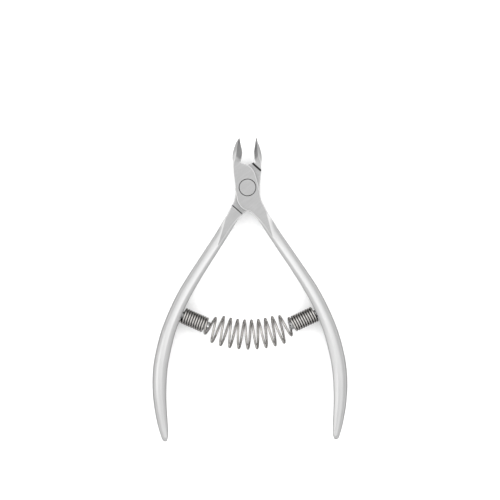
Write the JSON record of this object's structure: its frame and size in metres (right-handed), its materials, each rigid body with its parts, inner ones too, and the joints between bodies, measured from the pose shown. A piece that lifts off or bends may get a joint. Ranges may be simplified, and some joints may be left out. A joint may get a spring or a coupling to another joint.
{
  "type": "cuticle nipper",
  "caption": "Steel cuticle nipper with two lap-jointed levers, a flush rivet, and a coil return spring held between the handles on slotted screws.",
  "frame": {"origin": "on the pivot axis, in the plane of the joint's ground back face, where the rivet's tail is flush with the rear lever", "axes": "+Z along the pivot axis, out of the rivet's head; +Y along the centre line to the jaw tips; +X to the right seen from the rivet's head"},
  "size_m": [0.0678, 0.1051, 0.0102],
  "materials": {
    "satin_steel": "satin stainless steel, ground flat round the joint and the jaws",
    "ground_steel": "fine ground stainless steel",
    "spring_wire": "bright drawn spring steel"
  },
  "bodies": {
    "rear": {"rear_lever": "satin_steel", "pivot_rivet": "ground_steel", "left_spring_screw": "ground_steel", "spring_left_coils": "spring_wire", "spring_centre_coils": "spring_wire"},
    "front": {"front_lever": "satin_steel", "right_spring_screw": "ground_steel", "spring_right_coils": "spring_wire"}
  },
  "joints": [
    {"name": "pivot", "type": "hinge", "parent": "rear", "child": "front", "pos_m": [0, 0, 0.0032], "axis": [0, 0, -1], "range_deg": [0, 18.6], "stiffness_Nm_per_rad": 0.97, "deforming": ["spring_centre_coils"]}
  ]
}
